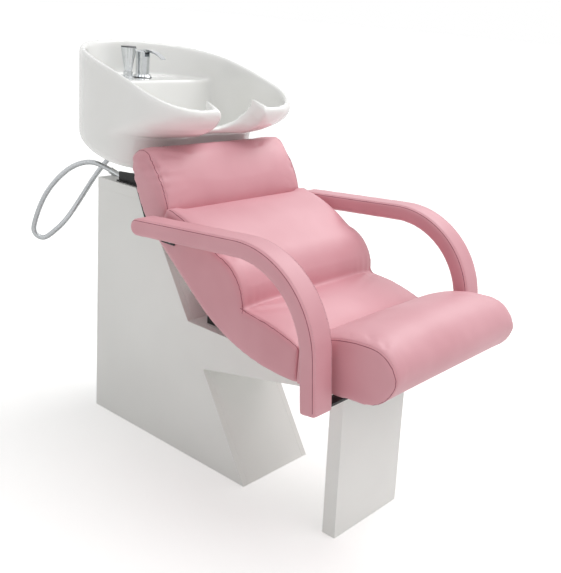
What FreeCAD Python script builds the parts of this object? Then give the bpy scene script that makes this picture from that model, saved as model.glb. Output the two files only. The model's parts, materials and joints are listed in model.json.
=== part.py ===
import FreeCAD, Part
import math
import os

Vector = FreeCAD.Vector

# Salon backwash unit: a reclined seat on a white cabinet, with a tilting glazed basin behind the head.
# Millimetres. X runs across, -Y towards the sitter's feet, Z up. The origin is on the floor, mid-length.
# "Forward" distances are measured from the cabinet's back face towards the feet.

# Whole unit
unit_length = 1185.0
basin_overhang = 90.0
back_y = unit_length / 2 - basin_overhang
overrun = 6.0
half_share = 0.5
seat_gap = 0.4

# Cabinet of lacquered boards
cabinet_width = 252.0
cabinet_height = 690.0
board = 18.0
lid_thickness = 28.0
foot_length = 614.0
ledge_forward = 380.0
ledge_drop = 307.0
ledge_height = cabinet_height - ledge_drop
waist_drop = 113.0
waist_height = ledge_height - waist_drop
front_slant = 58.0
beam_nose = 24.0
anchor_spacing_x = 150.0
anchor_spacing_y = 380.0
anchor_hole_radius = 5.5
anchor_rear = 110.0
panel_gap = 2.0
pipe_opening_width = 120.0
pipe_opening_height = 90.0
panel_screw_radius = 2.5
panel_screw_head_radius = 5.0
panel_screw_head = 2.5
panel_screw_length = 22.0
panel_screw_inset = 30.0
panel_cleat = 20.0
lid_opening_width = 110.0
lid_opening_length = 72.0
lid_opening_rear = 100.0

# Front leg
leg_forward = 872.0
leg_thickness = 37.0
leg_lean = 19.0
leg_bolt_radius = 4.0
leg_bolt_head_radius = 6.5
leg_bolt_head = 4.0
leg_bolt_depth = 45.0

# Steel seat frame
rail = 30.0
rail_wall = 2.5
rail_offset = 80.0
rail_rear = 420.0
rail_front = 985.0
cross_rail_forward = 616.0
frame_bolt_spacing = 220.0
gusset_thickness = 8.0
gusset_low = 60.0
gusset_reach_shares = (0.28, 0.72)

# Upholstered seat and back
seat_width = 500.0
seat_front = 845.0
crease_forward = 676.0
crease_rise = 115.0
crease_height = ledge_height + rail + crease_rise
back_top_forward = 418.0
back_rise = 177.0
back_top_height = crease_height + back_rise
back_pad = 40.0
seat_pad = 40.0
seat_drop = 34.0
seat_front_height = crease_height - seat_drop
shell_top_forward = 385.0
shell_rise = 96.0
shell_top_height = crease_height + shell_rise
back_crown = 20.0
back_bow = 4.0
seat_crown = 10.0
seat_bow = 4.0
shell_edge = 10.0
bolster_length = 245.0
bolster_height = 136.0
bolster_crown = 22.0
bolster_front_share = 0.25

# Head cushion and its backboard
head_width = 486.0
head_thickness = 84.0
head_height = 136.0
head_lean = 26.0
head_crown = 8.0
head_foot_forward = 366.0
head_drop = 15.0
head_foot_height = back_top_height - head_drop
backboard_thickness = 10.0
backboard_width = 470.0
backboard_length = 86.0
backboard_seat_share = 0.46
backboard_drop_share = 0.2
head_bracket_depth = 26.0
head_bracket_share = 0.3
head_bracket_offset = 110.0

# Armrests
arm_inner = 264.0
arm_width = 67.0
arm_thickness = 40.0
arm_rear_forward = 386.0
arm_above_shell = 42.0
arm_rear_height = shell_top_height + arm_above_shell
arm_rise = 4.9
arm_drop_forward = 945.0
arm_foot_rise = 17.0
arm_foot_height = ledge_height + arm_foot_rise
arm_drop_lean = 6.5
arm_bend_radius = 198.0
arm_round = 9.0
arm_bar = 8.0
arm_bar_width = 30.0
arm_bar_inset = 34.0
arm_foot_bar = 6.0
arm_foot_width = 26.0
arm_bracket_thickness = 4.0
arm_bracket_length = 46.0
arm_bracket_drop = 24.0
arm_bracket_forward = 410.0
arm_screw_radius = 4.0
arm_screw_head_radius = 7.0
arm_screw_head = 4.0
arm_screw_depth = 16.0
up_screw_depth = 13.0
up_screw_share = 0.25
arm_screw_shares = (0.25, 0.75)

# Glazed basin
basin_width = 490.0
basin_length = 506.0
basin_corner = 117.0
basin_lift = 63.0
basin_under_height = cabinet_height + basin_lift
basin_brow_rise = 158.0
basin_brow = basin_under_height + basin_brow_rise
basin_front_rise = 34.0
basin_front_wall = 168.0
basin_front_rim = basin_under_height + basin_front_wall
basin_mid_wall = 258.0
basin_mid_rim = basin_under_height + basin_mid_wall
basin_rear_wall = 300.0
basin_rear_rim = basin_under_height + basin_rear_wall
basin_mid_forward = 154.0
basin_wall = 18.0
basin_floor = 18.0
basin_drain_rise = 43.0
basin_drain_level = basin_under_height + basin_drain_rise
basin_under_forward = 255.0
basin_under_slope = 12.0
basin_under_round = 22.0
basin_deck_rise = 202.0
basin_deck_height = basin_under_height + basin_deck_rise
basin_deck_front = 70.0
basin_rim_round = 7.0
neck_half_width = 75.0
neck_recess = 86.0
neck_depth = 58.0
basin_fall_shares = (0.11, 0.213, 0.31, 0.384, 0.433, 1.0)
basin_front_shares = (0.957, 0.86, 0.69, 0.5, 0.12, 0.0)
basin_corner_shares = (1.06, 1.2, 1.32, 1.35, 0.95, 0.8)
neck_recess_shares = (1.0, 0.8, 0.55, 0.3, 0.12, 0.06)

# Basin waste
drain_forward = 140.0
drain_hole_radius = 25.5
drain_flange_radius = 34.0
drain_flange = 3.0
drain_tube_radius = 20.0
drain_thread_radius = 23.9
drain_tube_wall = 2.5
drain_tail_above_lid = 24.0
drain_tail_end = cabinet_height + drain_tail_above_lid
drain_seal = 1.0
drain_nut_radius = 31.0
drain_nut = 12.0
strainer_radius = 16.8
strainer_thickness = 2.0
strainer_stem = 14.0
strainer_stem_radius = 3.0
strainer_knob_radius = 6.0
strainer_knob = 5.0
strainer_hole_radius = 2.0
strainer_ring_radius = 11.0
strainer_holes = 8

# Tilt bracket
pivot_forward = 165.0
pivot_above_lid = 32.0
pivot_height = cabinet_height + pivot_above_lid
pivot_radius = 6.0
pivot_clearance = 0.05
plate_thickness = 4.0
ear_thickness = 5.0
ear_radius = 16.0
ear_spacing = 210.0
ear_gap = 0.4
lower_plate_rear = 69.0
plate_width = 236.0
upper_plate_length = 136.0
plate_opening_radius = 40.0
plate_bolt_radius = 4.0
plate_bolt_head_radius = 6.5
plate_bolt_head = 4.0
plate_bolt_depth = 12.0
plate_bolt_spacing = 150.0
pivot_nut_radius = 10.0
pivot_nut = 8.0
cheek_rear_height = 26.0

# Mixer tap and hand shower on the basin's deck
tap_forward = -6.0
tap_spacing = 50.0
mixer_hole_radius = 17.0
mixer_shank_radius = 16.0
mixer_flange_radius = 26.0
mixer_flange = 6.0
mixer_body_radius = 19.0
mixer_body_height = 44.0
mixer_seal = 2.0
mixer_nut_radius = 25.0
mixer_nut = 8.0
mixer_shank = 34.0
mixer_tail_radius = 5.0
mixer_tail_length = 30.0
mixer_tail_spacing = 16.0
cartridge_radius = 14.0
cartridge_height = 26.0
cartridge_stem_radius = 4.0
cartridge_stem = 5.0
cap_radius = 20.0
cap_height = 20.0
cap_crown = 4.0
cap_crown_radius = 14.0
cap_gap = 0.4
cap_wall = 3.0
lever_width = 16.0
lever_length = 86.0
lever_thickness = 6.0
lever_droop = 12.0
lever_arch = 1.0
lever_under_share = 0.62
lever_top_share = 0.55
lever_pin_radius = 2.5
lever_slot_gap = 0.4
lever_slot_depth = 9.6
holder_hole_radius = 13.0
holder_flange_radius = 17.0
holder_flange = 5.0
holder_height = 16.0
holder_bore_radius = 8.2
holder_nut_radius = 19.0
holder_nut = 8.0
holder_sleeve = 34.0
shower_foot_radius = 7.9
shower_neck_radius = 10.0
shower_head_radius = 21.0
shower_height = 66.0
shower_foot = 12.0
shower_face = 3.0
hose_radius = 7.0
hose_nut_radius = 7.9
hose_nut = 18.0
riser_length = 95.0
riser_end = basin_deck_height - riser_length
bend_reach_share = 0.45
gland_radius = 9.5
gland_bore_radius = 5.0

# Sizes that follow from the ones above
inner_half = cabinet_width / 2 - board
body_height = cabinet_height - lid_thickness
slant_run = 1 / math.tan(math.radians(front_slant))
board_run = board / math.sin(math.radians(front_slant))
waist_forward = foot_length - waist_height * slant_run
shoulder_forward = ledge_forward - (body_height - ledge_height) * slant_run
beam_reach = leg_forward - leg_lean
beam_slope = (ledge_height - beam_nose - waist_height) / (beam_reach - waist_forward)
shell_bottom = ledge_height + rail
half_seat = seat_width / 2
half_basin = basin_width / 2
basin_rear = -basin_overhang
basin_front = basin_rear + basin_length
mixer_x = tap_spacing / 2
holder_x = -tap_spacing / 2


def at(x, forward, height):
    return Vector(x, back_y - forward, height)


def side_wire(x, start, steps):
    """A closed wire in the side plane at x. A step is an end point, or a middle and an end for an arc."""
    here = at(x, *start)
    edges = []
    for step in steps:
        there = at(x, *step[-1])
        if len(step) == 1:
            edges.append(Part.LineSegment(here, there).toShape())
        else:
            edges.append(Part.Arc(here, at(x, *step[0]), there).toShape())
        here = there
    return Part.Wire(edges)


def slab(start, steps, x_low, x_high):
    face = Part.Face(side_wire(x_low, start, steps))
    return face.extrude(Vector(x_high - x_low, 0, 0))


def polygon_slab(points, x_low, x_high):
    steps = [(point,) for point in points[1:] + points[:1]]
    return slab(points[0], steps, x_low, x_high)


def block(x_low, x_high, rear, front, low, high):
    corner = at(x_low, front, low)
    return Part.makeBox(x_high - x_low, front - rear, high - low, corner)


def rod(radius, start, end):
    axis = end - start
    return Part.makeCylinder(radius, axis.Length, start, axis)


def tube(outer, inner, start, end):
    return rod(outer, start, end).cut(rod(inner, start, end))


def hexagon(radius, start, end):
    """A hexagon nut's solid, radius to its corners, between two points on a vertical axis."""
    sides = 6
    corners = []
    for index in range(sides + 1):
        angle = 2 * math.pi * index / sides
        corners.append(start + Vector(radius * math.cos(angle), radius * math.sin(angle), 0))
    return Part.Face(Part.makePolygon(corners)).extrude(end - start)


def mirrored(shape):
    return shape.mirror(Vector(), Vector(1, 0, 0))


def toward(point, other, share):
    """The point that lies a share of the way from one side point to another."""
    return tuple(a + (b - a) * share for a, b in zip(point, other))


def save(name, *solids):
    shape = solids[0] if len(solids) == 1 else Part.makeCompound(list(solids))
    shape.exportStep("parts/" + name + ".step")
    print(name, len(shape.Solids), "solids", round(shape.Volume), "mm3", shape.isValid())


# Cabinet: two shaped sides, boards between them, a lid and a screwed back panel
def cabinet():
    side = polygon_slab(
        [
            (0, 0),
            (foot_length, 0),
            (waist_forward, waist_height),
            (beam_reach, ledge_height - beam_nose),
            (beam_reach, ledge_height),
            (ledge_forward, ledge_height),
            (shoulder_forward, body_height),
            (0, body_height),
        ],
        inner_half,
        cabinet_width / 2,
    )
    save("cabinet_side_left", side)
    save("cabinet_side_right", mirrored(side))

    lower_front = polygon_slab(
        [
            (foot_length, 0),
            (waist_forward, waist_height),
            (waist_forward - board_run, waist_height),
            (foot_length - board_run, 0),
        ],
        -inner_half,
        inner_half,
    )
    save("cabinet_front_lower", lower_front)

    upper_front = polygon_slab(
        [
            (ledge_forward, ledge_height),
            (shoulder_forward, body_height),
            (shoulder_forward - board_run, body_height),
            (ledge_forward - board_run, ledge_height),
        ],
        -inner_half,
        inner_half,
    )
    save("cabinet_front_upper", upper_front)

    ledge_rear = ledge_forward - board_run
    ledge = block(-inner_half, inner_half, ledge_rear, beam_reach, ledge_height - board, ledge_height)
    for bolt in ledge_bolts():
        ledge = ledge.cut(bolt)
    save("cabinet_ledge", ledge)

    board_rise = board * math.sqrt(1 + beam_slope ** 2)
    underside_end = waist_forward + (ledge_height - board - board_rise - waist_height) / beam_slope
    underside_top = ledge_height - board
    underside = polygon_slab(
        [
            (waist_forward, waist_height),
            (underside_end, underside_top - board_rise),
            (underside_end, underside_top),
            (waist_forward, waist_height + board_rise),
        ],
        -inner_half,
        inner_half,
    )
    save("cabinet_beam_underside", underside)

    floor_front = foot_length - board_run - board * slant_run
    floor = block(-inner_half, inner_half, board, floor_front, 0, board)
    for side_sign in (-1, 1):
        for forward in (anchor_rear, anchor_rear + anchor_spacing_y):
            foot = at(side_sign * anchor_spacing_x / 2, forward, -overrun)
            floor = floor.cut(rod(anchor_hole_radius, foot, foot + Vector(0, 0, board + 2 * overrun)))
    pipe_half = pipe_opening_width / 2
    notch_front = drain_forward + plate_opening_radius
    floor = floor.cut(block(-pipe_half, pipe_half, 0, notch_front, -overrun, board + overrun))
    save("cabinet_floor", floor)
    back_panel()
    cabinet_lid()


def back_panel():
    half = inner_half - panel_gap
    top = body_height - panel_gap
    panel = block(-half, half, 0, board, panel_gap, top)
    pipe_half = pipe_opening_width / 2
    panel = panel.cut(block(-pipe_half, pipe_half, -overrun, board + overrun, -overrun, pipe_opening_height))
    cleats = []
    screws = []
    for x_sign in (-1, 1):
        cleat_x = x_sign * (inner_half - panel_cleat / 2)
        low_x = cleat_x - panel_cleat / 2
        cleat = block(low_x, low_x + panel_cleat, board, board + panel_cleat, board, body_height)
        lowest = panel_screw_inset + pipe_opening_height
        highest = body_height - panel_screw_inset
        for height in (lowest, body_height / 2, highest):
            seat = at(cleat_x, 0, height)
            inward = Vector(0, -1, 0)
            shank = rod(panel_screw_radius, seat, seat + inward * panel_screw_length)
            head = Part.makeCone(
                panel_screw_head_radius, panel_screw_radius, panel_screw_head, seat, inward
            )
            screw = shank.fuse(head)
            panel = panel.cut(screw)
            cleat = cleat.cut(screw)
            screws.append(screw)
        cleats.append(cleat)
    save("cabinet_back_panel", panel)
    save("back_panel_cleats", *cleats)
    save("back_panel_screws", *screws)


def lid_bolt_places():
    half = plate_bolt_spacing / 2
    rear = lower_plate_rear + plate_bolt_head_radius * 2
    front = pivot_forward - plate_bolt_head_radius
    return [(x, forward) for x in (-half, half) for forward in (rear, front)]


def cabinet_lid():
    half = cabinet_width / 2
    lid_front = ledge_forward - (cabinet_height - ledge_height) * slant_run
    lid = polygon_slab(
        [(0, body_height), (shoulder_forward, body_height), (lid_front, cabinet_height), (0, cabinet_height)],
        -half,
        half,
    )
    opening_half = lid_opening_width / 2
    opening_front = lid_opening_rear + lid_opening_length
    low = body_height - overrun
    high = cabinet_height + overrun
    lid = lid.cut(block(-opening_half, opening_half, lid_opening_rear, opening_front, low, high))
    for x, forward in lid_bolt_places():
        seat = at(x, forward, cabinet_height)
        lid = lid.cut(rod(plate_bolt_radius, seat - Vector(0, 0, plate_bolt_depth), seat))
    hose_end = hose_spot(hose_route[-1])
    inward = (hose_end - hose_spot(hose_route[-2])).normalize()
    to_lid = (hose_end.z - cabinet_height) / -inward.z
    bore_start = hose_end + inward * to_lid / 2
    bore_end = hose_end + inward * (to_lid + 2 * lid_thickness)
    bore = rod(gland_bore_radius, bore_start, bore_end)
    save("cabinet_lid", lid.cut(bore))
    gland = rod(gland_radius, hose_end, hose_end + inward * (to_lid + gland_radius * 2))
    below = block(-half, half, -seat_width, seat_width, 0, cabinet_height)
    save("hose_gland", gland.cut(below).cut(bore))


# Front leg: a plain thick panel under the bolster, bolted down through the frame's rails
def front_leg():
    half = cabinet_width / 2
    leg_top = leg_forward - leg_lean
    leg = polygon_slab(
        [
            (leg_forward, 0),
            (leg_forward + leg_thickness, 0),
            (leg_top + leg_thickness, ledge_height),
            (leg_top, ledge_height),
        ],
        -half,
        half,
    )
    bolts = []
    for x in (-rail_offset, rail_offset):
        seat = at(x, leg_top + leg_thickness / 2, ledge_height + rail_wall)
        bolt = frame_bolt(seat, leg_bolt_depth)
        leg = leg.cut(bolt)
        bolts.append(bolt)
    save("front_leg", leg)
    return bolts


def frame_bolt(seat, depth):
    shank = rod(leg_bolt_radius, seat - Vector(0, 0, depth), seat)
    return shank.fuse(rod(leg_bolt_head_radius, seat, seat + Vector(0, 0, leg_bolt_head)))


def ledge_bolts():
    first = rail_rear + 2 * rail
    bolts = []
    for x in (-rail_offset, rail_offset):
        for forward in (first, first + frame_bolt_spacing):
            bolts.append(frame_bolt(at(x, forward, ledge_height + rail_wall), board))
    return bolts


# Steel frame: two square tubes under the seat joined by two cross tubes, and gussets to the cabinet
def seat_frame(leg_bolts):
    low = ledge_height
    high = ledge_height + rail
    outer = []
    inner = []
    for x in (-rail_offset, rail_offset):
        outer.append(block(x - rail / 2, x + rail / 2, rail_rear, rail_front, low, high))
        inner.append(
            block(
                x - rail / 2 + rail_wall,
                x + rail / 2 - rail_wall,
                rail_rear - overrun,
                rail_front + overrun,
                low + rail_wall,
                high - rail_wall,
            )
        )
    cross_half = rail_offset - rail / 2
    cross = []
    for forward in (cross_rail_forward, rail_front - rail):
        outside = block(-cross_half, cross_half, forward - rail / 2, forward + rail / 2, low, high)
        hollow = block(
            -cross_half,
            cross_half,
            forward - rail / 2 + rail_wall,
            forward + rail / 2 - rail_wall,
            low + rail_wall,
            high - rail_wall,
        )
        cross.append(outside.cut(hollow))
    frame = outer[0].multiFuse(outer[1:]).cut(Part.makeCompound(inner)).multiFuse(cross)
    bolts = leg_bolts + ledge_bolts()
    for bolt in bolts:
        frame = frame.cut(bolt)
    save("seat_frame", frame)
    save("frame_bolts", *bolts)


def back_gussets(shell_bend, shell_top):
    shell_low = toward(shell_bend, shell_top, gusset_reach_shares[0])
    shell_high = toward(shell_bend, shell_top, gusset_reach_shares[1])
    low = ledge_height + gusset_low
    high = body_height - gusset_low
    gussets = []
    for x in (-rail_offset, rail_offset):
        gussets.append(
            polygon_slab(
                [
                    (ledge_forward - (low - ledge_height) * slant_run, low),
                    shell_low,
                    shell_high,
                    (ledge_forward - (high - ledge_height) * slant_run, high),
                ],
                x - gusset_thickness / 2,
                x + gusset_thickness / 2,
            )
        )
    save("back_gussets", *gussets)


# Upholstery: each soft piece is a loft of side outlines, crowned at mid-width and drawn in at its ends
station_shares = (-1.0, -0.96, -0.82, 0.0, 0.82, 0.96, 1.0)
crown_shares = (0.0, 0.6, 0.9, 1.0, 0.9, 0.6, 0.0)


def padded(section, half_width):
    """Lofts section(x, crown) across the width, crown running from 0 at the end seams to 1 at mid-width."""
    wires = [section(half_width * s, c) for s, c in zip(station_shares, crown_shares)]
    return Part.makeLoft(wires, True, True)


def offset_side(start, end, distance):
    """Moves a side line square to itself, to the left of its run from start to end."""
    run = (end[0] - start[0], end[1] - start[1])
    length = math.hypot(*run)
    shift = (-run[1] / length * distance, run[0] / length * distance)
    return [(p[0] + shift[0], p[1] + shift[1]) for p in (start, end)]


back_bend_share = 0.66
nose_lift_share = 0.33
back_nose_shares = (0.92, 0.33)
bend_height_share = 0.585


def seat_lines():
    """The seams of seat and back, and the lines on the shell that the pads lie on."""
    top = (back_top_forward, back_top_height)
    crease = (crease_forward, crease_height)
    across = crease_forward - back_top_forward
    down = back_top_height - crease_height
    bend = (back_top_forward + back_bend_share * across, crease_height + bend_height_share * down)
    nose = (back_top_forward + back_nose_shares[0] * across, crease_height + back_nose_shares[1] * down)
    front = (seat_front, seat_front_height)
    base_bend, base_top = offset_side(bend, top, back_pad)
    base_rear, base_front = offset_side(crease, front, -seat_pad)
    base_front = (seat_front, base_front[1])
    return top, bend, nose, crease, front, base_top, base_bend, base_rear, base_front


shell_curve_shares = (0.637, 0.35)
shell_curve_height_shares = (0.075, 0.33)
shell_flat_share = 0.90


def seat_shell():
    top, bend, nose, crease, front, base_top, base_bend, base_rear, base_front = seat_lines()
    length = seat_front - shell_top_forward
    height = base_top[1] - shell_bottom
    flat_end = (shell_top_forward + shell_flat_share * length, shell_bottom)
    curve_mid = (
        shell_top_forward + shell_curve_shares[0] * length,
        shell_bottom + shell_curve_height_shares[0] * height,
    )
    curve_end = (
        shell_top_forward + shell_curve_shares[1] * length,
        shell_bottom + shell_curve_height_shares[1] * height,
    )
    top_rear = (shell_top_forward, shell_top_height)
    steps = [
        (flat_end,),
        (curve_mid, curve_end),
        (top_rear,),
        (base_top,),
        (base_bend,),
        (base_rear,),
        (base_front,),
        ((seat_front, shell_bottom),),
    ]
    shell = slab((seat_front, shell_bottom), steps, -half_seat, half_seat)
    lower_edges = []
    for edge in shell.Edges:
        box = edge.BoundBox
        below = edge.CenterOfMass.z < shell_top_height and box.XLength < seat_gap
        outer = abs(abs(box.XMax) - half_seat) < seat_gap
        if below and outer and edge_is_low(edge, flat_end, curve_end, top_rear):
            lower_edges.append(edge)
    shell = shell.makeFillet(shell_edge, lower_edges)
    return shell, curve_end, top_rear


def edge_is_low(edge, *corners):
    """True for the shell's lower side edges, which end at the named side points."""
    heights = [corner[1] for corner in corners] + [shell_bottom]
    forwards = [corner[0] for corner in corners] + [seat_front]
    ends = [vertex.Point for vertex in edge.Vertexes]
    matched = 0
    for point in ends:
        for forward, height in zip(forwards, heights):
            if abs(point.z - height) < seat_gap and abs(back_y - point.y - forward) < seat_gap:
                matched += 1
                break
    return matched == len(ends)


def back_cushion(shell):
    top, bend, nose, crease, front, base_top, base_bend, base_rear, base_front = seat_lines()
    run = (bend[0] - top[0], bend[1] - top[1])
    length = math.hypot(*run)
    normal = (-run[1] / length, run[0] / length)

    def section(x, crown):
        lift = crown * back_crown
        middle = toward(top, bend, half_share)
        bow = lift + back_bow
        lifted_mid = (middle[0] + normal[0] * bow, middle[1] + normal[1] * bow)
        bend_lift = lift * half_share
        lifted_bend = (bend[0] + normal[0] * bend_lift, bend[1] + normal[1] * bend_lift)
        lifted_nose = (nose[0] + lift * half_share, nose[1] + lift * nose_lift_share)
        foot = (crease[0] - seat_gap, crease[1])
        steps = [
            (base_bend,),
            ((base_rear[0] - seat_gap, base_rear[1]),),
            (foot,),
            (lifted_nose, lifted_bend),
            (lifted_mid, top),
            (base_top,),
        ]
        return side_wire(x, base_top, steps)

    cushion = padded(section, half_seat).cut(shell)
    save("back_cushion", cushion)
    return cushion


def seat_cushion(shell):
    top, bend, nose, crease, front, base_top, base_bend, base_rear, base_front = seat_lines()

    def section(x, crown):
        lift = crown * seat_crown
        ahead = (front[0] - seat_gap, front[1])
        middle = toward(crease, ahead, half_share)
        steps = [
            (crease,),
            ((middle[0], middle[1] + seat_bow + lift), ahead),
            ((base_front[0] - seat_gap, base_front[1]),),
            (base_rear,),
        ]
        return side_wire(x, base_rear, steps)

    save("seat_cushion", padded(section, half_seat).cut(shell))


bolster_under_shares = ((0.67, 0.12), (0.91, 0.29), (1.0, 0.61))
bolster_top_shares = ((0.93, 0.85), (0.72, 1.0), (0.38, 0.92), (0.0, 0.62))
bolster_shares = bolster_under_shares + bolster_top_shares


def front_bolster():
    def section(x, crown):
        lift = crown * bolster_crown

        def spot(shares):
            forward = seat_front + shares[0] * (bolster_length + lift * bolster_front_share)
            return (forward, shell_bottom + shares[1] * (bolster_height + lift))

        low, curve, front, brow, top, slope, rear = [spot(shares) for shares in bolster_shares]
        start = (seat_front, shell_bottom)
        steps = [(low,), (curve, front), (brow, top), (slope, rear), (start,)]
        return side_wire(x, start, steps)

    save("front_bolster", padded(section, half_seat))


# Head cushion: a thick pad that leans on its backboard, carried by two brackets from the shell
head_front_shares = ((0.5, -0.16), (0.54, 0.52), (0.3, 0.97))
head_back_shares = ((0.0, 1.06), (-0.42, 0.88), (-0.5, 0.45), (-0.44, -0.16))


def head_frame():
    """The head cushion's own axes: up its length, and out of its front face."""
    lean = math.radians(head_lean)
    return (-math.sin(lean), math.cos(lean)), (math.cos(lean), math.sin(lean))


def head_spot(across, along):
    up, out = head_frame()
    forward = head_foot_forward + up[0] * along + out[0] * across
    return (forward, head_foot_height + up[1] * along + out[1] * across)


def head_cushion(back):
    """The head pad: its lower end is tucked down behind the back cushion and pressed against it."""
    def section(x, crown):
        lift = crown * head_crown

        def spot(shares):
            along = shares[1] * (head_height + (lift if shares[1] > 0 else 0))
            across = shares[0] * head_thickness
            if shares[0] > 0:
                across += lift
            return head_spot(across, along)

        foot, front, brow = [spot(shares) for shares in head_front_shares]
        crest, back, waist, heel = [spot(shares) for shares in head_back_shares]
        steps = [(front, brow), (crest, back), (waist, heel), (foot,)]
        return side_wire(x, foot, steps)

    save("head_cushion", padded(section, head_width / 2).cut(backboard()).cut(back))


def backboard_span():
    """Depths of the backboard's two faces behind the cushion's middle, and its lower and upper ends."""
    near = -head_thickness * backboard_seat_share
    low = -backboard_length * backboard_drop_share
    return near, near - backboard_thickness, low, low + backboard_length


def backboard():
    near, far, low, high = backboard_span()
    half = backboard_width / 2
    points = [head_spot(near, low), head_spot(near, high), head_spot(far, high), head_spot(far, low)]
    return polygon_slab(points, -half, half)


def head_backboard(shell_bend, shell_top):
    near, far, low, high = backboard_span()
    save("head_backboard", backboard())
    shell_low = toward(shell_top, shell_bend, head_bracket_share)
    run = (shell_bend[0] - shell_top[0], shell_bend[1] - shell_top[1])
    length = math.hypot(*run)
    outward = (run[1] / length * head_bracket_depth, -run[0] / length * head_bracket_depth)
    bracket_points = [
        head_spot(far, high - head_bracket_depth),
        head_spot(far, low),
        shell_top,
        shell_low,
        (shell_low[0] + outward[0], shell_low[1] + outward[1]),
        head_spot(far - head_bracket_depth, low),
    ]
    brackets = []
    for x in (-head_bracket_offset, head_bracket_offset):
        brackets.append(polygon_slab(bracket_points, x - gusset_thickness / 2, x + gusset_thickness / 2))
    save("head_brackets", *brackets)


# Armrests: a bent flat steel bar inside a stuffed cover, on a foot under the bolster and a rear bracket
def arm_centreline(inset, spread):
    """Rear end, bend start, bend middle, bend end and foot of the arm's side curve, moved out by spread."""
    rise = math.radians(arm_rise)
    lean = math.radians(arm_drop_lean)
    along = (math.cos(rise), math.sin(rise))
    down = (math.sin(lean), -math.cos(lean))
    rear = (arm_rear_forward + along[0] * inset, arm_rear_height + along[1] * inset)
    foot = (arm_drop_forward, arm_foot_height)
    slope = along[1] / along[0]
    lean_run = down[0] / down[1]
    corner_height = (
        arm_rear_height + slope * (arm_drop_forward - arm_rear_forward - lean_run * arm_foot_height)
    ) / (1 - slope * lean_run)
    corner = (arm_drop_forward + lean_run * (corner_height - arm_foot_height), corner_height)
    turn = rise + math.pi / 2 - lean
    tangent = arm_bend_radius * math.tan(turn / 2)
    start = (corner[0] - along[0] * tangent, corner[1] - along[1] * tangent)
    end = (corner[0] + down[0] * tangent, corner[1] + down[1] * tangent)
    centre = (start[0] + along[1] * arm_bend_radius, start[1] - along[0] * arm_bend_radius)
    out_angle = math.pi / 2 + rise - turn / 2
    reach = arm_bend_radius + spread
    middle = (centre[0] + reach * math.cos(out_angle), centre[1] + reach * math.sin(out_angle))
    square = (-along[1] * spread, along[0] * spread)
    side = (-down[1] * spread, down[0] * spread)

    def moved(point, shift):
        return (point[0] + shift[0], point[1] + shift[1])

    return moved(rear, square), moved(start, square), middle, moved(end, side), moved(foot, side)


def arm_slab(inset, thickness, x_low, x_high, round_end):
    upper = arm_centreline(inset, thickness / 2)
    lower = arm_centreline(inset, -thickness / 2)
    tip = arm_centreline(inset - (thickness / 2 if round_end else 0), 0)[0]
    steps = [
        (upper[1],),
        (upper[2], upper[3]),
        (upper[4],),
        (lower[4],),
        (lower[3],),
        (lower[2], lower[1]),
        (lower[0],),
        (tip, upper[0]) if round_end else (upper[0],),
    ]
    return slab(upper[0], steps, x_low, x_high)


def armrests():
    bar_low = arm_inner + (arm_width - arm_bar_width) / 2
    bar = arm_slab(arm_bar_inset, arm_bar, bar_low, bar_low + arm_bar_width, False)
    pad = arm_slab(arm_thickness / 2, arm_thickness, arm_inner, arm_inner + arm_width, True)
    long_edges = [edge for edge in pad.Edges if edge.BoundBox.XLength < seat_gap]
    pad = pad.makeFillet(arm_round, long_edges)
    foot_half = arm_foot_width / 2
    foot_top = shell_bottom
    foot = block(
        rail_offset + rail / 2,
        bar_low + arm_bar_width,
        arm_drop_forward - foot_half,
        arm_drop_forward + foot_half,
        foot_top - arm_foot_bar,
        foot_top,
    )
    core = bar.fuse(foot).removeSplitter()
    pad = pad.cut(core)
    bracket, screws, pad = arm_bracket(pad)
    save("armrest_pad_left", pad)
    save("armrest_pad_right", mirrored(pad))
    save("armrest_bar_left", core)
    save("armrest_bar_right", mirrored(core))
    save("armrest_bracket_left", bracket)
    save("armrest_bracket_right", mirrored(bracket))
    screws = screws + [mirrored(screw) for screw in screws]
    save("armrest_screws", *screws)
    return screws


def arm_bracket(pad):
    """The angle under the arm's rear end: one leg on the shell's side, one under the pad."""
    slope = math.tan(math.radians(arm_rise))
    run = arm_bracket_forward - arm_rear_forward
    under = arm_rear_height + slope * run - arm_thickness / 2 * math.sqrt(1 + slope ** 2)
    front = arm_bracket_forward + arm_bracket_length
    under_front = under + slope * arm_bracket_length
    outer = arm_inner + arm_width / 2
    flat = polygon_slab(
        [
            (arm_bracket_forward, under),
            (front, under_front),
            (front, under_front - arm_bracket_thickness),
            (arm_bracket_forward, under - arm_bracket_thickness),
        ],
        half_seat,
        outer,
    )
    low = under - arm_bracket_drop
    leg = block(half_seat, half_seat + arm_bracket_thickness, arm_bracket_forward, front, low, under)
    bracket = flat.fuse(leg).removeSplitter()
    middle = (arm_bracket_forward + front) / 2
    seat = at(arm_inner + arm_width * up_screw_share, middle, (under + under_front) / 2 - arm_bracket_thickness)
    up_screw = rod(arm_screw_radius, seat, seat + Vector(0, 0, up_screw_depth))
    up_screw = up_screw.fuse(rod(arm_screw_head_radius, seat - Vector(0, 0, arm_screw_head), seat))
    bracket = bracket.cut(up_screw)
    pad = pad.cut(up_screw)
    screws = [up_screw]
    face = half_seat + arm_bracket_thickness
    for share in arm_screw_shares:
        forward = arm_bracket_forward + share * arm_bracket_length
        height = low + arm_bracket_drop * half_share
        head_seat = at(face, forward, height)
        screw = rod(arm_screw_radius, at(half_seat - arm_screw_depth, forward, height), head_seat)
        screw = screw.fuse(rod(arm_screw_head_radius, head_seat, at(face + arm_screw_head, forward, height)))
        bracket = bracket.cut(screw)
        screws.append(screw)
    return bracket, screws, pad


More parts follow.
